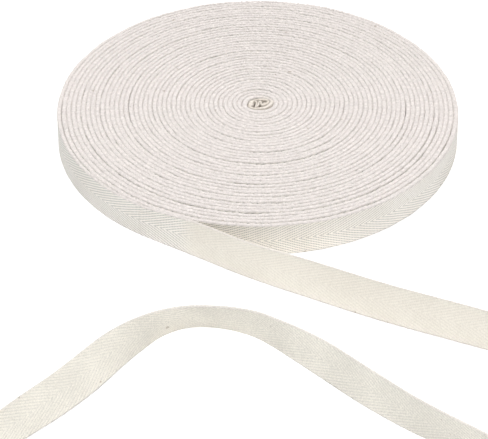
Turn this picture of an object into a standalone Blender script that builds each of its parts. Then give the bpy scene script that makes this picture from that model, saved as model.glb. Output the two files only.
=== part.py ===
"""Roll of twill tape: a flat pancake roll of herringbone cotton tape, with its loose end lying before it.

Metres, +Z up. The origin is on the surface under the middle of the roll. The roll lies on its side, so the
tape's width stands upright in it. The loose end leaves the roll's left front and stands or leans on its lower
edge. It runs to the right, turns round, comes back across the front in an arch and ends at the left.
"""

import math

import bmesh
import bpy
from mathutils import Vector

MM = 0.001

# Driving dimensions
TAPE_WIDTH = 12.7 * MM
TAPE_THICKNESS = 1.0 * MM
ROLL_RADIUS = 71.8 * MM
TURNS = 42
WINDING_PITCH = ROLL_RADIUS / TURNS
PIECE_GAP = 0.3 * MM

# The outer turn runs counter-clockwise seen from above, and leaves the roll at this angle from +X.
LEAVING_ANGLE = math.radians(235.5)
STEP_ANGLE = math.radians(0.5)
SECTORS = 72

# The turns were wound round a pinched start that now lies a little behind the middle.
EYE_OFFSET = Vector((0.1 * MM, 2.6 * MM))
EYE_HALF_LENGTH = 6.0 * MM
EYE_HALF_WIDTH = 4.2 * MM
SLOT_HALF_LENGTH = 4.2 * MM
SLOT_HALF_WIDTH = 1.3 * MM
SLOT_DEPTH = 3.0 * MM

# The edges of the turns rise and fall a little round the roll, each group in its own phase.
CREST_WAVE = 0.12 * MM
CREST_WAVES_PER_TURN = 3
CREST_PHASE_PER_MM = 0.4

# A main gap is never less than this share of its depth, and it closes near both ends of its turn.
LEAST_GAP_SHARE = 0.45
GAP_CLOSING_SHARE = 1 / 12
SMOOTH_ANGLE = math.radians(35)

# The main gaps between groups of turns, from the eye outwards: middle radius as a share of the roll's, width
# and depth, the angle where the gap is deepest, and how far the turns outside it sit below the tape's width.
GAP_COLUMNS = ("share", "width_mm", "depth_mm", "deepest_deg", "drop_mm")
MAIN_GAPS = [
    (0.165, 0.9, 0.8, 60, 0.25),
    (0.250, 0.9, 0.9, 200, 0.10),
    (0.333, 1.1, 1.1, 280, 0.30),
    (0.425, 1.0, 1.0, 250, 0.15),
    (0.483, 1.2, 1.2, 300, 0.35),
    (0.550, 1.0, 1.0, 230, 0.10),
    (0.658, 1.1, 1.2, 270, 0.25),
    (0.725, 1.3, 1.3, 350, 0.05),
    (0.806, 1.0, 1.1, 250, 0.30),
    (0.880, 1.5, 1.6, 290, 0.10),
    (0.956, 1.1, 1.1, 310, 0.00),
]

# The loose end's route: places of its lower edge on the surface, and its lean. The lean is the angle of the
# tape's width above the surface, on the right-hand side of the way it runs, so 90 stands upright.
ROUTE_COLUMNS = ("x_mm", "y_mm", "lean_deg")
ROUTE = [
    (-21, -72.5, 92),
    (-4, -83.5, 102),
    (14, -93.5, 111),
    (40, -107, 114),
    (68, -119.5, 115),
    (86, -128, 110),
    (101, -140, 102),
    (108, -157, 96),
    (105, -174, 92),
    (94, -185, 90),
    (79, -184, 90),
    (64, -174, 89),
    (47, -162, 81),
    (32, -149, 73),
    (18, -134.5, 75),
    (4, -120, 94),
    (-4, -114, 103),
    (-14, -110.5, 109),
    (-24, -110.5, 109),
    (-32.5, -115, 100),
    (-39, -122.5, 81),
    (-45, -131, 61),
    (-50.5, -139.5, 45),
    (-56.5, -147.5, 41),
    (-63, -155, 47),
    (-70, -162, 56),
    (-78, -170, 64),
    (-86, -178, 68),
]
STEPS_PER_ROW = 5

# Cotton left in its natural cream colour
CREAM = (0.80, 0.77, 0.69, 1.0)
ROLL_CREAM = (0.76, 0.73, 0.68, 1.0)
CLOTH_ROUGHNESS = 0.92


def clear_scene():
    for obj in list(bpy.data.objects):
        bpy.data.objects.remove(obj, do_unlink=True)


def cloth_material(name, color):
    material = bpy.data.materials.new(name)
    material.use_nodes = True
    shader = material.node_tree.nodes["Principled BSDF"]
    shader.inputs["Base Color"].default_value = color
    shader.inputs["Roughness"].default_value = CLOTH_ROUGHNESS
    shader.inputs["Metallic"].default_value = 0.0
    return material


def add_object(name, bm, material, collection):
    mesh = bpy.data.meshes.new(name)
    bmesh.ops.recalc_face_normals(bm, faces=bm.faces)
    bm.to_mesh(mesh)
    bm.free()
    mesh.materials.append(material)
    obj = bpy.data.objects.new(name, mesh)
    collection.objects.link(obj)
    return obj


def smoothstep(value):
    value = min(max(value, 0.0), 1.0)
    return value * value * (3 - 2 * value)


def sectors():
    """The angles of the roll's sections, each with the share of a whole turn since the outer wall's step."""
    swept = 2 * math.pi - STEP_ANGLE
    shares = [index / SECTORS for index in range(SECTORS + 1)]
    return [(LEAVING_ANGLE + STEP_ANGLE + swept * share, share) for share in shares]


def ring(radius, height_at):
    """One turn about this middle radius. It ends one pitch further out, and small turns lie about the eye."""
    points = []
    middle = EYE_OFFSET * (1 - radius / ROLL_RADIUS)
    for angle, share in sectors():
        reach = radius + WINDING_PITCH * (share - 0.5)
        x = middle.x + reach * math.cos(angle)
        y = middle.y + reach * math.sin(angle)
        points.append((x, y, height_at(angle, share)))
    return points


def wall_ring(height):
    """The outer wall: it grows by one pitch over the turn and steps back where the loose end leaves."""
    points = []
    for angle, share in sectors():
        reach = ROLL_RADIUS + WINDING_PITCH * (share - 0.5)
        points.append((reach * math.cos(angle), reach * math.sin(angle), height))
    return points


def oval_ring(half_length, half_width, height):
    return [
        (EYE_OFFSET.x + half_length * math.cos(angle), EYE_OFFSET.y + half_width * math.sin(angle), height)
        for angle, _ in sectors()
    ]


def crest_height(drop):
    """The height of a group of turns round the roll."""

    def height_at(angle, share):
        phase = CREST_WAVES_PER_TURN * angle + CREST_PHASE_PER_MM * drop / MM
        return TAPE_WIDTH - drop - CREST_WAVE * (1 + math.sin(phase)) / 2

    return height_at


def gap_height(crest, depth, deepest):
    """The height along the bottom of a main gap."""

    def height_at(angle, share):
        closing = smoothstep(share / GAP_CLOSING_SHARE) * smoothstep((1 - share) / GAP_CLOSING_SHARE)
        opening = LEAST_GAP_SHARE + (1 - LEAST_GAP_SHARE) * (1 + math.cos(angle - deepest)) / 2
        return crest(angle, share) - depth * opening * closing

    return height_at


def roll_rings():
    """Closed sections from the underside's rim up the wall and over the top to the slot in the eye."""
    rings = [wall_ring(0.0), wall_ring(TAPE_WIDTH)]
    gaps = [dict(zip(GAP_COLUMNS, row)) for row in MAIN_GAPS]
    for index in reversed(range(len(gaps))):
        gap = gaps[index]
        middle = gap["share"] * ROLL_RADIUS
        half_width = gap["width_mm"] * MM / 2
        inner_crest = crest_height(gaps[index - 1]["drop_mm"] * MM if index else 0.0)
        outer_crest = crest_height(gap["drop_mm"] * MM)
        deepest = math.radians(gap["deepest_deg"])
        rings.append(ring(middle + half_width, outer_crest))
        rings.append(ring(middle, gap_height(inner_crest, gap["depth_mm"] * MM, deepest)))
        rings.append(ring(middle - half_width, inner_crest))
    rings.append(oval_ring(EYE_HALF_LENGTH, EYE_HALF_WIDTH, TAPE_WIDTH - CREST_WAVE))
    rings.append(oval_ring(SLOT_HALF_LENGTH, SLOT_HALF_WIDTH, TAPE_WIDTH - SLOT_DEPTH))
    return rings


def build_roll(collection):
    """A loft from section to section, because no two of its sections are alike."""
    bm = bmesh.new()
    loops = [[bm.verts.new(point) for point in points] for points in roll_rings()]
    count = SECTORS + 1
    for outer, inner in zip(loops, loops[1:]):
        for here in range(count):
            after = (here + 1) % count
            bm.faces.new((outer[here], outer[after], inner[after], inner[here]))
    bm.faces.new(reversed(loops[0]))
    bm.faces.new(loops[-1])
    roll = add_object("roll", bm, cloth_material("roll_cotton", ROLL_CREAM), collection)
    roll.data.shade_smooth()
    roll.data.set_sharp_from_angle(angle=SMOOTH_ANGLE)
    return roll


def route_start():
    """The loose end starts on the line of the outer turn, the gap past that turn's last section."""
    angle = LEAVING_ANGLE
    reach = ROLL_RADIUS + WINDING_PITCH / 2 - TAPE_THICKNESS / 2
    start = Vector((reach * math.cos(angle), reach * math.sin(angle)))
    along = Vector((-math.sin(angle), math.cos(angle)))
    return start + along * (STEP_ANGLE * ROLL_RADIUS + PIECE_GAP), along


def route_stations():
    """Even steps of a smooth curve through the route's rows, as (place, lean)."""
    start, along = route_start()
    rows = [(Vector((x, y)) * MM, math.radians(lean)) for x, y, lean in ROUTE]
    rows = [(start, math.radians(90))] + rows
    before = (rows[0][0] - along * (rows[1][0] - rows[0][0]).length, rows[0][1])
    after = (rows[-1][0] * 2 - rows[-2][0], rows[-1][1])
    guides = [before] + rows + [after]
    stations = []
    for index in range(1, len(guides) - 2):
        places = [guide[0] for guide in guides[index - 1 : index + 3]]
        leans = [guide[1] for guide in guides[index - 1 : index + 3]]
        for step in range(STEPS_PER_ROW):
            share = step / STEPS_PER_ROW
            stations.append((catmull_rom(places, share), catmull_rom(leans, share)))
    stations.append(rows[-1])
    return stations


def catmull_rom(values, share):
    """A smooth value between the second and the third of four values."""
    first, second, third, fourth = values
    linear = (third - first) * 0.5
    square = first - second * 2.5 + third * 2.0 - fourth * 0.5
    cube = (fourth - first) * 0.5 + (second - third) * 1.5
    return second + (linear + (square + cube * share) * share) * share


def build_loose_end(collection):
    """An open strip along the route, made solid to the tape's thickness about its middle."""
    stations = route_stations()
    bm = bmesh.new()
    rails = []
    for index, (place, lean) in enumerate(stations):
        before = stations[max(index - 1, 0)][0]
        after = stations[min(index + 1, len(stations) - 1)][0]
        along = (after - before).normalized()
        if index == 0:
            along = route_start()[1]
        right = Vector((along.y, -along.x, 0.0))
        lower = Vector((place.x, place.y, abs(math.cos(lean)) * TAPE_THICKNESS / 2))
        upper = lower + (right * math.cos(lean) + Vector((0, 0, math.sin(lean)))) * TAPE_WIDTH
        rails.append((bm.verts.new(lower), bm.verts.new(upper)))
    for (lower, upper), (next_lower, next_upper) in zip(rails, rails[1:]):
        bm.faces.new((lower, next_lower, next_upper, upper))
    tape = add_object("loose_end", bm, cloth_material("loose_cotton", CREAM), collection)
    tape.data.shade_smooth()
    solid = tape.modifiers.new("thickness", "SOLIDIFY")
    solid.thickness = TAPE_THICKNESS
    solid.offset = 0.0
    return tape


def main():
    clear_scene()
    collection = bpy.data.collections.new("roll_of_twill_tape")
    bpy.context.scene.collection.children.link(collection)
    base = bpy.data.objects.new("tape_base", None)
    collection.objects.link(base)
    for piece in (build_roll(collection), build_loose_end(collection)):
        piece.parent = base


main()
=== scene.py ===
"""Roll of twill tape, dressed.

One long herringbone cotton tape is wound edge-up from a crumpled start in the eye, and its loose
end stands and leans over the surface. The tape is swept along its own path. Every point of it
carries its place on the tape as UV: the run along it and the distance from its middle line, in
metres. The cotton material draws the weave, the selvages and the flecks from that, with painted
shade in the grooves, on the selvage flanks, in the eye and on the loose end, and painted light on
the roll behind the loose end.
"""

import math

import bpy
import numpy as np
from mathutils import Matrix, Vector


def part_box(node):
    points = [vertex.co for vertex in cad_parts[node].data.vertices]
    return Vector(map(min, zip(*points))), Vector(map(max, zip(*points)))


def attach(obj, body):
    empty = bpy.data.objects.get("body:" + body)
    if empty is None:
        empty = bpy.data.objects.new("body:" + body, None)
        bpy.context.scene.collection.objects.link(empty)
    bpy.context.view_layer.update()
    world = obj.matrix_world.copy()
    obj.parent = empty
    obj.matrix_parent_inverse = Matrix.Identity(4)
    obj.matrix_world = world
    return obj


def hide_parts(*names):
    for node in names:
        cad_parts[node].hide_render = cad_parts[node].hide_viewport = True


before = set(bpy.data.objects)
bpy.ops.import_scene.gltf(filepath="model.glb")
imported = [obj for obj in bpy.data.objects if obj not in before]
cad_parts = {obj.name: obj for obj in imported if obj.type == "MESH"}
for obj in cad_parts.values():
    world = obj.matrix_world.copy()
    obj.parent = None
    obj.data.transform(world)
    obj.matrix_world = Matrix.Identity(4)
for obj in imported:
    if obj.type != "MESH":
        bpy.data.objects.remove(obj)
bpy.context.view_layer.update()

MM = 0.001

# The tape
ROLL_LOW, ROLL_HIGH = (np.array(corner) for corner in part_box("roll"))
TAPE_WIDTH = float(ROLL_HIGH[2] - ROLL_LOW[2])
HALF_WIDTH = TAPE_WIDTH / 2
LOOSE_THICKNESS = 1.0 * MM
MOST_HALF = 0.88 * MM

# The winding, counter-clockwise seen from above
ROLL_RADIUS = 71.8 * MM
TURNS = 42
PITCH = ROLL_RADIUS / TURNS
LEAVING_ANGLE = math.radians(235.5)
LAST_RADIUS = ROLL_RADIUS + PITCH / 2 - LOOSE_THICKNESS / 2
EYE = np.array([0.1, 2.6]) * MM
ROUND_TURNS = 38 + LEAVING_ANGLE / (2 * math.pi)
EYE_RADIUS = LAST_RADIUS - ROUND_TURNS * PITCH
OVAL_STRETCH = 0.3 * MM
OVAL_REACH = 14 * MM
CENTRE_POWER = 4
STATION_STEP = 0.6 * MM
PER_TURN = 720
JOINING = PER_TURN // 24

# Within this part of a turn before the leaving point, the last turn settles to an even circle and
# thins down to the loose tape's thickness
SETTLED_WITHIN = 1 / 4
THINNED_WITHIN = 1 / 5

# How the turns are uneven: size, lengths of the waves along the tape, and seed. The first moves a
# turn in and out, the second up and down, and the third changes its share of the room between its
# neighbours.
PLACE_WOBBLE = (0.11 * MM, np.array([5.3, 8.9, 13.7]) * MM, 3)
HEIGHT_WOBBLE = (0.28 * MM, np.array([23.0, 61.0, 143.0, 377.0]) * MM, 5)
ROOM_WOBBLE = (0.055, np.array([1.7, 4.3, 11.0, 61.0]) * MM, 9)
MEAN_DROP = 0.20 * MM

# The share of their room that the turns leave free at the roll's front and back
SLACK_FRONT, SLACK_BACK = 0.045, 0.125

# The selvage's small beads and its ragged line: usual size, the most in usual sizes, and seed
BEAD_HEIGHT = 0.07 * MM
RAGGED = 0.065 * MM
MOST_RAGGED = 2
RAGGED_SEED = 11

# The pieces of the wound tape, and where the first two end, as shares of its stations
WOUND_NAMES = ("wound_inner", "wound_middle", "wound_outer")
WOUND_ENDS = (0.36, 0.70)

# The darker gaps between turns. Each row is the gap's radius as a share of the roll's, the angle
# where it is widest and the angle over which it fades to each side, in degrees, and how much wider
# it is than the others, in mm.
GAPS = [
    (0.129, 90, 80, 0.20),
    (0.191, 55, 80, 0.33),
    (0.245, 262, 80, 0.16),
    (0.271, 285, 80, 0.19),
    (0.318, 85, 80, 0.39),
    (0.347, 110, 80, 0.33),
    (0.372, 255, 85, 0.24),
    (0.390, 75, 90, 0.49),
    (0.432, 300, 100, 0.28),
    (0.458, 45, 70, 0.33),
    (0.486, 85, 90, 0.45),
    (0.517, 270, 120, 0.39),
    (0.553, 60, 80, 0.39),
    (0.560, 280, 80, 0.22),
    (0.616, 275, 85, 0.31),
    (0.643, 150, 80, 0.30),
    (0.653, 75, 75, 0.45),
    (0.684, 262, 95, 0.40),
    (0.716, 95, 85, 0.52),
    (0.736, 345, 90, 0.20),
    (0.749, 280, 85, 0.35),
    (0.781, 255, 80, 0.28),
    (0.789, 145, 70, 0.28),
    (0.806, 80, 85, 0.52),
    (0.827, 275, 80, 0.31),
    (0.858, 60, 80, 0.42),
    (0.871, 300, 90, 0.31),
    (0.886, 110, 80, 0.55),
    (0.905, 280, 110, 0.47),
    (0.919, 95, 85, 0.52),
    (0.945, 110, 85, 0.55),
    (0.963, 285, 100, 0.31),
]
GAP_FADE_TURNS = 1.6

# The crumpled start in the eye. Each row is a place of the tape's middle line, x and y from the
# eye's middle, its depth below the top, and half the thickness there, in mm.
START = [
    (-2.2, 2.70, 0.9, 0.50),
    (-0.6, 3.10, 0.8, 0.54),
    (1.4, 3.10, 0.6, 0.66),
    (2.8, 2.65, 0.5, 0.55),
    (3.4, 1.75, 0.6, 0.45),
    (2.95, 0.85, 0.8, 0.84),
    (2.2, 0.45, 0.7, 1.12),
    (1.35, -0.35, 0.6, 0.80),
    (0.85, 0.1, 0.5, 0.44),
    (0.70, 1.15, 0.4, 0.54),
    (0.25, 1.6, 0.5, 0.48),
    (-0.05, 0.8, 0.6, 0.44),
    (-0.2, -0.4, 0.5, 0.42),
    (-0.45, -1.3, 0.4, 0.40),
    (-0.8, -1.95, 0.4, 0.38),
    (-1.2, -1.8, 0.5, 0.38),
    (-1.05, -0.8, 0.7, 0.42),
    (-0.85, 0.4, 0.8, 0.42),
    (-0.95, 1.5, 0.7, 0.44),
    (-1.7, 2.0, 0.5, 0.55),
    (-2.6, 1.4, 0.4, 1.00),
    (-2.85, 0.3, 0.5, 1.20),
    (-3.05, -0.6, 0.6, 1.08),
    (-3.25, -1.5, 0.5, 0.76),
    (-2.95, -2.45, 0.4, 0.60),
    (-1.6, -3.1, 0.3, 0.72),
    (0.3, -3.2, 0.2, 0.82),
    (2.3, -2.75, 0.1, 0.82),
    (3.9, -1.3, 0.0, 0.84),
    (4.7, 0.5, 0.0, 0.86),
    (4.45, 2.05, 0.2, 0.62),
    (3.25, 3.5, 0.4, 0.62),
    (1.0, 4.5, 0.4, 0.78),
    (-1.9, 4.3, 0.3, 0.88),
    (-3.9, 3.1, 0.3, 1.02),
    (-4.85, 1.2, 0.2, 0.96),
    (-5.2, -1.0, 0.2, 0.94),
    (-4.5, -3.15, 0.2, 0.84),
    (-2.6, -4.75, 0.1, 0.90),
    (0.4, -5.2, 0.2, 0.94),
    (3.2, -4.6, 0.2, 0.92),
    (5.3, -2.7, 0.2, 0.88),
    (6.15, -0.85, 0.1, 0.90),
]
START_FINE = 40
START_STEP = 0.2 * MM

# The loose end's route, as in the solids. Each row is a place of its lower edge on the surface, x
# and y in mm, and the angle of its width above the surface on the right-hand side of the way it
# runs, in degrees.
ROUTE = [
    (-21, -72.5, 101),
    (-4, -83.5, 102),
    (14, -93.5, 111),
    (40, -107, 114),
    (68, -119.5, 115),
    (86, -128, 110),
    (101, -140, 102),
    (108, -157, 96),
    (105, -174, 92),
    (94, -185, 90),
    (79, -184, 90),
    (64, -174, 89),
    (47, -162, 81),
    (32, -149, 73),
    (18, -134.5, 75),
    (4, -120, 94),
    (-4, -114, 103),
    (-14, -110.5, 109),
    (-24, -110.5, 109),
    (-32.5, -115, 100),
    (-39, -122.5, 81),
    (-45, -131, 61),
    (-50.5, -139.5, 45),
    (-56.5, -147.5, 41),
    (-63, -155, 47),
    (-70, -162, 56),
    (-78, -170, 64),
    (-86, -178, 68),
]
STRAIGHT_START = 3.0 * MM
ROUTE_FINE = 60
ROUTE_STEP = 0.5 * MM

# Half of the tape's cross-section, over the selvage from one face to the other. Each row is the
# distance from the rounded edge's top as a share of the tape's half thickness, and the place
# through the thickness.
EDGE_ROUND = [
    (0.50, 1.00),
    (0.17, 0.93),
    (0.03, 0.58),
    (0.0, 0.0),
    (0.03, -0.58),
    (0.17, -0.93),
    (0.50, -1.00),
]
PLAIN_EDGE = [(0.40, 1.00), (0.0, 0.0), (0.40, -1.00)]

# The flat faces end this many half thicknesses from the edge. A place through the thickness past
# FACE_FROM belongs to a face, and the UV of the others goes past the tape's half width by up to
# EDGE_SPREAD.
EDGE_REACH = 0.8
EDGE_SPREAD = 0.5 * MM
FACE_FROM = 0.97
WOUND_FACE_POINTS = 2
LOOSE_FACE_POINTS = 8

# The camera's place for the photograph
CAMERA_ELEVATION = math.radians(36.83)
CAMERA_DISTANCE = 13 * ROLL_RADIUS
CAMERA_TARGET = Vector((-5.3, -51.0, 0.0)) * MM
SENSOR_WIDTH = 36.0
LENS = 197.6
NEAREST_SEEN = 0.01

# The light: a white room, and round lamps. Each row is a lamp's name, place, size across, power in
# watts and colour.
ROOM_COLOR = (1, 1, 1, 1)
ROOM_STRENGTH = 0.24
LAMP_TARGET = Vector((0.0, -0.05, 0.0))
LAMPS = [
    ("overhead", (0.0, 0.0, 1.3), 1.2, 2.8, (1, 1, 1)),
    ("high_front", (0.0, -0.7, 1.2), 0.6, 11.4, (1, 1, 1)),
    ("high_left", (-0.8, -0.3, 1.1), 0.6, 2.5, (0.86, 0.93, 1.0)),
    ("front_right", (0.9, -0.9, 0.7), 1.0, 0.9, (1, 1, 1)),
    ("right", (1.3, 0.1, 0.5), 1.0, 2.1, (1, 1, 1)),
    ("back", (0.0, 1.3, 0.9), 1.0, 15.0, (1, 1, 1)),
]
FLOOR_SIZE = 6.0
FLOOR_COLOR = (0.93, 0.93, 0.93, 1)
FLOOR_GLOW = 0.226
FLOOR_ROUGHNESS = 0.9
FLOOR_SPECULAR = 0.1

# The weave, in millimetres: four picks make one rib, and the ribs turn back at the middle line
RIB_RUN = 2.4
RIB_SLOPE = math.radians(23)
PICK = 0.6
WARP = 0.26
STREAK_LENGTH = 1.3
STREAK_WIDTH = 0.22
SHADE_LENGTH = 5.0

# How deep the ribs and the painted shade in their grooves are, next to those on the roll: on the
# face that the loose end shows first, and on its other one
LOOSE_RIBS = 0.22
RETURN_RIBS = 0.36

# Where the tape changes along its run, in metres past the leaving point: the strong ribs of the
# roll fade, the tape has turned round and shows its other face, and a length of the outer turn that
# lies in the shade behind the loose end, painted paler as painted light, begins and ends
RIB_FADE = (0.014, 0.023)
FACE_TURN = (0.150, 0.200)
BEHIND_LOOSE_LIT_BEGIN = (-0.455, -0.445)
BEHIND_LOOSE_LIT_END = (-0.390, -0.364)

# The run from the tape's own start, in millimetres, over which the warmer tones and the painted
# shade of the crumpled start fade away
START_TONE_AND_SHADE_RUN = (26.0, 50.0)

# Where the tape changes across its width, in millimetres from its middle line: the ribs end and the
# selvage begins, the painted shade of the next turn on the selvage's sides ends, and the near-black
# painted shade on the middle of the crumpled start's faces ends
SELVAGE_FROM = (5.95, 6.25)
FLANK_SHADE_TO = (6.45, 6.74)
DEEP_SHADE_TO = (4.6, 5.7)

# The cotton's colours
FACE_DARK, FACE_LIGHT = (0.77, 0.73, 0.665, 1), (0.88, 0.845, 0.79, 1)
# Painted light: paler tones for the length of the outer turn behind the loose end, in its shade
BEHIND_LOOSE_LIT_DARK, BEHIND_LOOSE_LIT_LIGHT = (0.82, 0.775, 0.70, 1), (0.93, 0.89, 0.825, 1)
# Painted shade: darker, yellower tones for the loose end, on both its faces
LOOSE_SHADED_DARK, LOOSE_SHADED_LIGHT = (0.713, 0.668, 0.592, 1), (0.806, 0.764, 0.686, 1)
RETURN_SHADED_DARK, RETURN_SHADED_LIGHT = (0.672, 0.641, 0.573, 1), (0.852, 0.813, 0.727, 1)
# Painted shade in the grooves between the ribs
GROOVE_SHADE_TONE = (0.31, 0.31, 0.30, 1)
SELVAGE_DARK, SELVAGE_LIGHT = (0.618, 0.572, 0.544, 1), (0.822, 0.759, 0.726, 1)
# The crumpled start's warmer tones, and near-black painted shade on the middle of its faces
START_DARK, START_LIGHT = (0.62, 0.555, 0.475, 1), (0.89, 0.81, 0.73, 1)
START_PAINTED_SHADE = (0.08, 0.06, 0.045, 1)
# Painted shade on the selvage flanks
FLANK_SHADE_TONE = (0.43, 0.37, 0.355, 1)
FLECK_TONE = (0.30, 0.23, 0.16, 1)

# How strongly the darker tones show; those of the grooves, the flanks and the start are painted shade
GROOVE_SHADE_SHARE = 0.95
GROOVE_OFF_PICK = 0.20
FLANK_SHADE_SHARE = 0.20
START_FLANK_SHADE_SHARE = 0.38
LOOSE_SELVAGE_SHARE = 0.5
FLECK_SHARE = 0.5

# Noises: scale, detail and roughness. The last two are read at places that are scaled already and
# drawn out along the tape.
CLOUD_NOISE = (45.0, 3.0, 0.5)
FUZZ_NOISE = (2600.0, 3.0, 0.6)
SPECK_NOISE = (1900.0, 2.0, 0.7)
FLECK_NOISE = (420.0, 1.0, 0.5)
STREAK_NOISE = (1.0, 2.0, 0.6)
SHADE_NOISE = (1.0, 3.0, 0.6)

# The values between which a noise or a rib's slope goes over from one tone to the other
GROOVE_SPAN = (0.35, 0.95)
TONE_SPAN = (0.36, 0.64)
SHADE_SPAN = (0.38, 0.62)
FLECK_SPAN = (0.765, 0.80)
STREAKS_IN_GRAIN = 0.5
CLOUDS_IN_MOTTLE = 0.4

# The relief, in shares of its full depth
RELIEF_DEPTH = 0.13 * MM
WARP_HIGH = 0.12
PICK_HIGH = 0.22
BEAD_HIGH = 0.35
GRAIN_HIGH = 0.8
FUZZ_HIGH = 0.35

# The cotton's shine
ROUGHNESS = 0.95
SPECULAR = 0.15
SHEEN = 0.12
SHEEN_ROUGHNESS = 0.6

# The first, second and result sockets of a mix node
MIX_SOCKETS = {"FLOAT": (2, 3, 0), "RGBA": (6, 7, 2)}


def catmull_rom(points, per_span):
    """A smooth line through the points, which are rows of any width."""
    points = np.asarray(points, float)
    before = 2 * points[0] - points[1]
    after = 2 * points[-1] - points[-2]
    guides = np.vstack([before, points, after])
    share = np.linspace(0, 1, per_span, endpoint=False)[:, None]
    spans = []
    for first, second, third, fourth in zip(guides, guides[1:], guides[2:], guides[3:]):
        linear = (third - first) / 2
        square = first - 2.5 * second + 2 * third - fourth / 2
        cube = (fourth - first) / 2 + 1.5 * (second - third)
        spans.append(second + (linear + (square + cube * share) * share) * share)
    return np.vstack(spans + [points[-1:]])


def run_along(places):
    """The distance along a line of places to each of them."""
    steps = np.linalg.norm(np.diff(places, axis=0), axis=1)
    return np.concatenate([[0.0], np.cumsum(steps)])


def evenly(rows, step):
    """The rows of a fine line taken again at even steps of their place in plan, the first two columns."""
    run = run_along(rows[:, :2])
    count = max(2, round(run[-1] / step) + 1)
    even = np.linspace(0, run[-1], count)
    return np.column_stack([np.interp(even, run, column) for column in rows.T])


def wobble(run, size, waves, seed):
    """A smooth unevenness along the tape: a few waves of unlike length that never repeat."""
    rng = np.random.default_rng(seed)
    total = np.zeros_like(run)
    for wave in waves:
        total += np.sin(2 * math.pi * run / wave + rng.uniform(0, 2 * math.pi)) * rng.uniform(0.6, 1.0)
    return size * total / len(waves)


def gap_shift(turned):
    """How far each station moves out or in to open the darker gaps, from the winding's angle in turns."""
    shift = np.zeros_like(turned)
    end = turned[-1]
    for share, middle_deg, spread_deg, extra_mm in GAPS:
        middle = math.radians(middle_deg)
        turns_in = (LAST_RADIUS - share * ROLL_RADIUS) / PITCH
        behind = (LEAVING_ANGLE - middle) / (2 * math.pi)
        gap_turn = end - behind - round(turns_in - behind - 0.5) - 0.5
        away = turned - gap_turn
        side = np.floor(away) + 0.5
        offset = (away - side) * 360
        window = np.cos(np.clip(offset / spread_deg, -1, 1) * math.pi / 2) ** 2
        fade = np.exp(-(np.abs(side) - 0.5) / GAP_FADE_TURNS)
        shift += np.sign(side) * extra_mm * MM / 2 * fade * window
    return shift


def half_gaps(places):
    """How far the tape may swell to the inside and to the outside: half the way to its neighbours."""
    between = np.linalg.norm(places[PER_TURN:] - places[:-PER_TURN], axis=1) / 2
    between = np.clip(between, LOOSE_THICKNESS / 2, MOST_HALF)
    outside = np.concatenate([between, between[-PER_TURN:]])
    inside = np.concatenate([between[:PER_TURN], between])
    return inside, outside


def wound_line():
    """Stations of the wound tape from the crumpled start outwards, and how many of them are crumpled.

    Each row is x, y, depth below the top, and half the thickness to the inside and to the outside.
    """
    turned = np.arange(ROUND_TURNS * PER_TURN, 0, -1)[::-1] / PER_TURN
    before_leaving = ROUND_TURNS - turned
    angle = LEAVING_ANGLE - before_leaving * 2 * math.pi
    radius = EYE_RADIUS + turned * PITCH
    run = np.concatenate([[0.0], np.cumsum(np.diff(angle) * radius[1:])])
    settled = np.clip(before_leaving / SETTLED_WITHIN, 0, 1)
    radius = radius + gap_shift(turned) * settled
    radius = radius + wobble(run, *PLACE_WOBBLE) * settled
    stretch = OVAL_STRETCH * np.exp(-radius / OVAL_REACH)
    middle = EYE[:, None] * (1 - (radius / ROLL_RADIUS) ** CENTRE_POWER)
    x = middle[0] + (radius + stretch) * np.cos(angle)
    y = middle[1] + (radius - stretch) * np.sin(angle)
    below = MEAN_DROP + wobble(run, *HEIGHT_WOBBLE)
    below = np.clip(below, 0.0, None) * settled
    filled = 1 - wobble(run, *ROOM_WOBBLE).clip(0, None)
    filled = filled - np.where(np.sin(angle) < 0, SLACK_FRONT, SLACK_BACK) * np.sin(angle) ** 2
    thin = LOOSE_THICKNESS / 2
    swell = np.clip(before_leaving / THINNED_WITHIN, 0, 1)
    halves = [thin + (half * filled - thin) * swell for half in half_gaps(np.column_stack([x, y]))]
    spiral = np.column_stack([x, y, below, *halves])

    start = []
    for x_mm, y_mm, below_mm, half_mm in START:
        place = EYE + np.array([x_mm, y_mm]) * MM
        start.append((*place, below_mm * MM, half_mm * MM, half_mm * MM))
    start += [tuple(spiral[JOINING]), tuple(spiral[2 * JOINING])]
    start = evenly(catmull_rom(start, START_FINE)[:-START_FINE], START_STEP)
    return np.vstack([start[:-1], evenly(spiral[JOINING:], STATION_STEP)]), len(start)


def along_and_right(places):
    """Unit vectors along a plan line and to its right."""
    along = np.gradient(places, axis=0)
    along /= np.linalg.norm(along, axis=1)[:, None]
    return along, np.column_stack([along[:, 1], -along[:, 0]])


def cross_section(top, bottom, face_points):
    """The tape's closed outline: rows of side (1 top, -1 bottom, 0 face), from edge, through, across."""
    rows = []
    for from_edge, through in top:
        rows.append((1, from_edge, through, 1.0))
    for place in np.linspace(1, -1, face_points):
        rows.append((0, 0.0, -1.0, place))
    for from_edge, through in reversed(bottom):
        rows.append((-1, from_edge, through, -1.0))
    for place in np.linspace(-1, 1, face_points):
        rows.append((0, 0.0, 1.0, place))
    return rows


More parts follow.
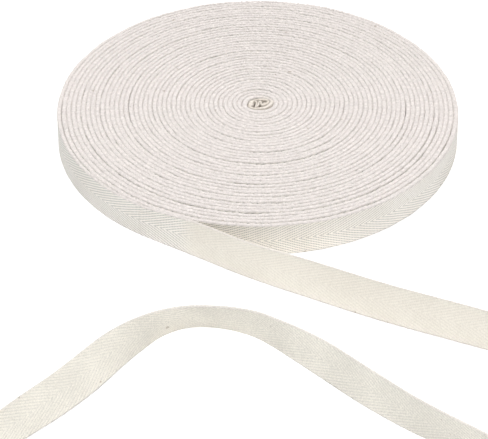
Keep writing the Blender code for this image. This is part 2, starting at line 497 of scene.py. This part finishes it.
def sweep(name, line, section):
    """The tape's mesh and its UV: the cross-section carried along the stations, closed at both ends."""
    count = len(section)
    stations = len(line["run"])
    half_width = line["half_width"]
    mean_half = (line["inside"] + line["outside"]) / 2
    points = np.zeros((stations, count, 3))
    across = np.zeros((stations, count))
    for index, (side, from_edge, through, place) in enumerate(section):
        if side:
            reach = side * (half_width - from_edge * mean_half)
            on_face = side * (HALF_WIDTH - from_edge * mean_half)
            on_edge = side * (HALF_WIDTH + EDGE_SPREAD * (1 - abs(through)))
            across[:, index] = on_face if abs(through) > FACE_FROM else on_edge
        else:
            reach = place * (half_width - EDGE_REACH * mean_half)
            across[:, index] = place * (HALF_WIDTH - EDGE_REACH * mean_half)
        half = line["outside"] if through > 0 else line["inside"]
        depth = through * half
        if side > 0 and abs(through) < FACE_FROM:
            reach = reach + line["beads"]
        if side > 0:
            depth = depth + line["ragged"]
        offset = line["width_way"] * reach[:, None] + line["thick_way"] * depth[:, None]
        points[:, index] = line["middle"] + offset
    mesh = bpy.data.meshes.new(name)
    ring = np.arange(count)
    after = (ring + 1) % count
    base = (np.arange(stations - 1) * count)[:, None]
    corners = [base + ring, base + after, base + count + after, base + count + ring]
    faces = np.stack(corners, axis=2).reshape(-1, 4).tolist()
    faces.append(list(range(count - 1, -1, -1)))
    faces.append(list(range((stations - 1) * count, stations * count)))
    mesh.from_pydata(points.reshape(-1, 3).tolist(), [], faces)
    uv_run = np.repeat(line["run"], count)
    corner = np.zeros(len(mesh.loops), np.int32)
    mesh.loops.foreach_get("vertex_index", corner)
    uv = np.column_stack([uv_run, across.reshape(-1)])[corner].astype(np.float32)
    mesh.uv_layers.new(name="tape").data.foreach_set("uv", uv.ravel())
    smooth = np.ones(len(mesh.polygons), bool)
    smooth[-2:] = False
    mesh.polygons.foreach_set("use_smooth", smooth)
    mesh.update()
    obj = bpy.data.objects.new(name, mesh)
    bpy.context.scene.collection.objects.link(obj)
    return obj


def wound_tape():
    """The wound tape in three pieces, so that no mesh is too large, and the run and place at its end."""
    rows, crumpled = wound_line()
    places = rows[:, :2]
    below, inside, outside = rows[:, 2:].T
    run = run_along(places)
    _, right = along_and_right(places)
    half_width = (TAPE_WIDTH - below) / 2
    line = {
        "run": run,
        "half_width": half_width,
        "inside": inside,
        "outside": outside,
        "middle": np.column_stack([places, half_width]),
        "width_way": np.tile([0.0, 0.0, 1.0], (len(run), 1)),
        "thick_way": np.column_stack([right, np.zeros(len(run))]),
    }
    rng = np.random.default_rng(RAGGED_SEED)
    for key, size in (("beads", BEAD_HEIGHT), ("ragged", RAGGED)):
        line[key] = size * rng.normal(0, 1, len(run)).clip(-MOST_RAGGED, MOST_RAGGED)
        line[key][:crumpled] = 0
    section = cross_section(EDGE_ROUND, PLAIN_EDGE, WOUND_FACE_POINTS)
    pieces = []
    bounds = [0, *(int(len(run) * end) for end in WOUND_ENDS), len(run) - 1]
    for name, first, last in zip(WOUND_NAMES, bounds, bounds[1:]):
        part = slice(first, last + 1)
        piece = sweep(name, {key: value[part] for key, value in line.items()}, section)
        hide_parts("roll")
        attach(piece, "root")
        pieces.append(piece)
    return pieces, float(run[-1]), places[-1]


def loose_tape(first_run, first_place):
    """The loose end, from the outer turn's last station to the plain cut."""
    way = LEAVING_ANGLE + math.pi / 2
    ahead = np.array([math.cos(way), math.sin(way)])
    upright = math.radians(90)
    rows = [(*first_place, upright), (*(first_place + STRAIGHT_START * ahead), upright)]
    rows += [(x * MM, y * MM, math.radians(lean)) for x, y, lean in ROUTE]
    line = evenly(catmull_rom(rows, ROUTE_FINE), ROUTE_STEP)
    places = line[:, :2]
    lean = line[:, 2]
    run = run_along(places)
    along, right = along_and_right(places)
    along[0] = ahead
    right[0] = (ahead[1], -ahead[0])
    count = len(run)
    level = np.zeros(count)
    up = np.array([0.0, 0.0, 1.0])
    width_way = np.column_stack([right, level]) * np.cos(lean)[:, None] + up * np.sin(lean)[:, None]
    lower = np.column_stack([places, np.abs(np.cos(lean)) * LOOSE_THICKNESS / 2])
    tape_line = {
        "run": run + first_run,
        "half_width": np.full(count, HALF_WIDTH),
        "inside": np.full(count, LOOSE_THICKNESS / 2),
        "outside": np.full(count, LOOSE_THICKNESS / 2),
        "middle": lower + width_way * HALF_WIDTH,
        "width_way": width_way,
        "thick_way": np.cross(np.column_stack([along, level]), width_way),
        "beads": level,
        "ragged": level,
    }
    tape = sweep("loose_tape", tape_line, cross_section(EDGE_ROUND, EDGE_ROUND, LOOSE_FACE_POINTS))
    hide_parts("loose_end")
    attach(tape, "root")
    return tape


class Graph:
    """A short way to write a material's nodes. Most methods give the socket with their result."""

    def __init__(self, material):
        material.use_nodes = True
        self.tree = material.node_tree
        self.shader = self.tree.nodes["Principled BSDF"]

    def node(self, kind, **settings):
        node = self.tree.nodes.new(kind)
        for key, value in settings.items():
            setattr(node, key, value)
        return node

    def feed(self, socket, value):
        if isinstance(value, bpy.types.NodeSocket):
            self.tree.links.new(value, socket)
        else:
            socket.default_value = value

    def math(self, operation, first, second=0.0, third=0.0):
        node = self.node("ShaderNodeMath", operation=operation)
        for socket, value in zip(node.inputs, (first, second, third)):
            self.feed(socket, value)
        return node.outputs[0]

    def span(self, value, low, high, to_low=0.0, to_high=1.0):
        """The value taken smoothly from low..high to the other span, held at both ends."""
        node = self.node("ShaderNodeMapRange", interpolation_type="SMOOTHSTEP")
        for socket, number in zip(node.inputs, (value, low, high, to_low, to_high)):
            self.feed(socket, number)
        return node.outputs[0]

    def mix(self, share, first, second, kind="RGBA"):
        node = self.node("ShaderNodeMix", data_type=kind)
        first_at, second_at, result_at = MIX_SOCKETS[kind]
        self.feed(node.inputs[0], share)
        self.feed(node.inputs[first_at], first)
        self.feed(node.inputs[second_at], second)
        return node.outputs[result_at]

    def place(self, first, second):
        node = self.node("ShaderNodeCombineXYZ")
        self.feed(node.inputs[0], first)
        self.feed(node.inputs[1], second)
        return node.outputs[0]

    def noise(self, where, scale, detail, roughness):
        node = self.node("ShaderNodeTexNoise")
        self.feed(node.inputs["Vector"], where)
        node.inputs["Scale"].default_value = scale
        node.inputs["Detail"].default_value = detail
        node.inputs["Roughness"].default_value = roughness
        return node.outputs[0]

    def blended(self, first, second, share_of_first):
        """Two noises added in shares that make one."""
        rest = self.math("MULTIPLY", second, 1 - share_of_first)
        return self.math("MULTIPLY_ADD", first, share_of_first, rest)

    def yarns(self, place, spacing):
        """Rounded rows of yarn, 1 on top of each and 0 between them."""
        wave = self.math("COSINE", self.math("MULTIPLY", place, 2 * math.pi / spacing))
        return self.math("MULTIPLY_ADD", wave, 0.5, 0.5)

    def grooves(self, run, aside):
        """The narrow grooves between broad slanting ribs."""
        slant = self.math("MULTIPLY", aside, 1 / math.tan(RIB_SLOPE))
        place = self.math("FRACT", self.math("DIVIDE", self.math("SUBTRACT", run, slant), RIB_RUN))
        from_ridge = self.math("ABSOLUTE", self.math("SUBTRACT", self.math("MULTIPLY", place, 2.0), 1.0))
        return self.span(from_ridge, *GROOVE_SPAN)


def cotton_material(leaving_run):
    """Undyed cotton herringbone: ribs that turn back at the middle line, yarns, selvages and flecks, with
    painted shade and painted light.
    """
    material = bpy.data.materials.new("cotton_twill")
    g = Graph(material)
    uv = g.node("ShaderNodeUVMap", uv_map="tape").outputs[0]
    split = g.node("ShaderNodeSeparateXYZ")
    g.feed(split.inputs[0], uv)
    run = g.math("MULTIPLY", split.outputs[0], 1 / MM)
    across = g.math("MULTIPLY", split.outputs[1], 1 / MM)
    aside = g.math("ABSOLUTE", across)
    where = g.node("ShaderNodeTexCoord").outputs["Object"]

    def past_leaving(ends):
        return g.span(run, *((leaving_run + end) / MM for end in ends))

    # The weave: picks cross the ribs, warp yarns run along them, and at the edge the picks turn
    # back as small beads
    pick = g.yarns(run, PICK)
    warp = g.yarns(across, WARP)
    bead = g.math("ABSOLUTE", g.math("COSINE", g.math("MULTIPLY", run, math.pi / PICK)))
    selvage_here = g.span(aside, *SELVAGE_FROM)
    flank_shade_mask = g.span(aside, *FLANK_SHADE_TO, 1.0, 0.0)

    # The cloth's unevenness, and the painted shade on the flanks, deeper on some lengths than others
    cloud = g.noise(where, *CLOUD_NOISE)
    fuzz = g.noise(where, *FUZZ_NOISE)
    specks = g.noise(where, *SPECK_NOISE)
    streak_run = g.math("MULTIPLY", run, 1 / STREAK_LENGTH)
    streak_across = g.math("MULTIPLY", across, 1 / STREAK_WIDTH)
    streaks = g.noise(g.place(streak_run, streak_across), *STREAK_NOISE)
    grain = g.span(g.blended(streaks, specks, STREAKS_IN_GRAIN), *TONE_SPAN)
    mottle = g.span(g.blended(cloud, specks, CLOUDS_IN_MOTTLE), *TONE_SPAN)
    shade_run = g.math("MULTIPLY", run, 1 / SHADE_LENGTH)
    shade = g.span(g.noise(g.place(shade_run, 0.0), *SHADE_NOISE), *SHADE_SPAN, 0.0, FLANK_SHADE_SHARE)

    # The ribs stand out most on the roll, where the tape is bent tight, in relief and in painted shade
    off_roll = past_leaving(RIB_FADE)
    returned = past_leaving(FACE_TURN)
    rib_depth = g.math("MULTIPLY_ADD", off_roll, LOOSE_RIBS - 1.0, 1.0)
    rib_depth = g.math("MULTIPLY_ADD", returned, RETURN_RIBS - LOOSE_RIBS, rib_depth)
    groove = g.math("MULTIPLY_ADD", pick, 1 - GROOVE_OFF_PICK, GROOVE_OFF_PICK)
    groove = g.math("MULTIPLY", g.math("MULTIPLY", g.grooves(run, aside), groove), rib_depth)

    # The relief
    yarn_high = g.math("MULTIPLY_ADD", warp, WARP_HIGH, g.math("MULTIPLY", pick, PICK_HIGH))
    face_high = g.math("SUBTRACT", yarn_high, groove)
    selvage_high = g.math("MULTIPLY_ADD", bead, BEAD_HIGH, g.math("MULTIPLY", grain, GRAIN_HIGH))
    high = g.mix(selvage_here, face_high, selvage_high, "FLOAT")
    bump = g.node("ShaderNodeBump")
    bump.inputs["Strength"].default_value = 1.0
    bump.inputs["Distance"].default_value = RELIEF_DEPTH
    g.feed(bump.inputs["Height"], g.math("MULTIPLY_ADD", fuzz, FUZZ_HIGH, high))
    g.feed(g.shader.inputs["Normal"], bump.outputs[0])

    # The faces
    # Painted light: the length of the outer turn in the shade behind the loose end gets paler tones
    pale = g.math("SUBTRACT", past_leaving(BEHIND_LOOSE_LIT_BEGIN), past_leaving(BEHIND_LOOSE_LIT_END))
    wound_face = g.mix(mottle, FACE_DARK, FACE_LIGHT)
    wound_face = g.mix(pale, wound_face, g.mix(mottle, BEHIND_LOOSE_LIT_DARK, BEHIND_LOOSE_LIT_LIGHT))
    # Painted shade: the loose end's tones, on both faces, are darker, yellower copies of the roll's
    loose_face = g.mix(mottle, LOOSE_SHADED_DARK, LOOSE_SHADED_LIGHT)
    loose_face = g.mix(returned, loose_face, g.mix(mottle, RETURN_SHADED_DARK, RETURN_SHADED_LIGHT))
    face = g.mix(off_roll, wound_face, loose_face)
    # At the crumpled start: warmer tones, and near-black painted shade on the middle of its faces
    start_tone_and_shade = g.span(run, *START_TONE_AND_SHADE_RUN, 1.0, 0.0)
    shaded_start_face = g.mix(g.span(aside, *DEEP_SHADE_TO, 1.0, 0.0), START_DARK, START_PAINTED_SHADE)
    # Painted shade in the grooves between the ribs
    ribbed = g.mix(g.math("MULTIPLY", groove, GROOVE_SHADE_SHARE), face, GROOVE_SHADE_TONE)
    ribbed = g.mix(start_tone_and_shade, ribbed, shaded_start_face)

    # The selvages, with painted shade on their flanks
    selvage = g.mix(grain, SELVAGE_DARK, SELVAGE_LIGHT)
    # Painted shade on the selvage flanks, deeper along some lengths of tape
    selvage = g.mix(g.math("MULTIPLY", flank_shade_mask, shade), selvage, FLANK_SHADE_TONE)
    # At the crumpled start the selvage takes warmer tones, with near-black painted shade on its flanks
    shaded_start_selvage = g.mix(grain, START_DARK, START_LIGHT)
    shaded_start_selvage = g.mix(g.math("MULTIPLY", flank_shade_mask, START_FLANK_SHADE_SHARE), shaded_start_selvage, START_PAINTED_SHADE)
    selvage = g.mix(start_tone_and_shade, selvage, shaded_start_selvage)
    selvage = g.mix(g.math("MULTIPLY", off_roll, LOOSE_SELVAGE_SHARE), selvage, face)

    # Both together, with seed flecks
    color = g.mix(selvage_here, ribbed, selvage)
    fleck = g.span(g.noise(where, *FLECK_NOISE), *FLECK_SPAN)
    color = g.mix(g.math("MULTIPLY", fleck, FLECK_SHARE), color, FLECK_TONE)
    g.feed(g.shader.inputs["Base Color"], color)
    g.shader.inputs["Roughness"].default_value = ROUGHNESS
    g.shader.inputs["Specular IOR Level"].default_value = SPECULAR
    g.shader.inputs["Sheen Weight"].default_value = SHEEN
    g.shader.inputs["Sheen Roughness"].default_value = SHEEN_ROUGHNESS
    return material


def floor():
    """A plain pale surface under the roll, faintly lit from below like a light table."""
    bpy.ops.mesh.primitive_plane_add(size=FLOOR_SIZE, location=(0, 0, 0))
    plane = bpy.context.object
    plane.name = "floor"
    material = bpy.data.materials.new("pale_floor")
    material.use_nodes = True
    shader = material.node_tree.nodes["Principled BSDF"]
    shader.inputs["Base Color"].default_value = FLOOR_COLOR
    shader.inputs["Emission Color"].default_value = FLOOR_COLOR
    shader.inputs["Emission Strength"].default_value = FLOOR_GLOW
    shader.inputs["Roughness"].default_value = FLOOR_ROUGHNESS
    shader.inputs["Specular IOR Level"].default_value = FLOOR_SPECULAR
    plane.data.materials.append(material)


def lamp(name, place, size, power, color):
    """A round soft lamp that faces the roll."""
    data = bpy.data.lights.new(name, "AREA")
    data.shape = "DISK"
    data.size = size
    data.energy = power
    data.color = color
    obj = bpy.data.objects.new(name, data)
    obj.location = place
    obj.rotation_euler = (LAMP_TARGET - Vector(place)).to_track_quat("-Z", "Y").to_euler()
    bpy.context.scene.collection.objects.link(obj)


def studio():
    """A white room and a few broad soft lamps."""
    world = bpy.data.worlds.new("studio")
    bpy.context.scene.world = world
    world.use_nodes = True
    background = world.node_tree.nodes["Background"]
    background.inputs["Color"].default_value = ROOM_COLOR
    background.inputs["Strength"].default_value = ROOM_STRENGTH
    for row in LAMPS:
        lamp(*row)


def camera():
    """The camera at the photograph's viewing angle."""
    data = bpy.data.cameras.new("camera")
    data.sensor_width = SENSOR_WIDTH
    data.lens = LENS
    data.clip_start = NEAREST_SEEN
    obj = bpy.data.objects.new("camera", data)
    back = Vector((0, -math.cos(CAMERA_ELEVATION), math.sin(CAMERA_ELEVATION)))
    obj.location = CAMERA_TARGET + back * CAMERA_DISTANCE
    obj.rotation_euler = (math.pi / 2 - CAMERA_ELEVATION, 0, 0)
    bpy.context.scene.collection.objects.link(obj)
    bpy.context.scene.camera = obj


def main():
    scene = bpy.context.scene
    scene.view_settings.view_transform = "Standard"
    scene.view_settings.look = "None"
    camera()
    floor()
    studio()
    wound, leaving_run, leaving_place = wound_tape()
    cotton = cotton_material(leaving_run)
    for piece in [*wound, loose_tape(leaving_run, leaving_place)]:
        piece.data.materials.append(cotton)
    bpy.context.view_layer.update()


main()
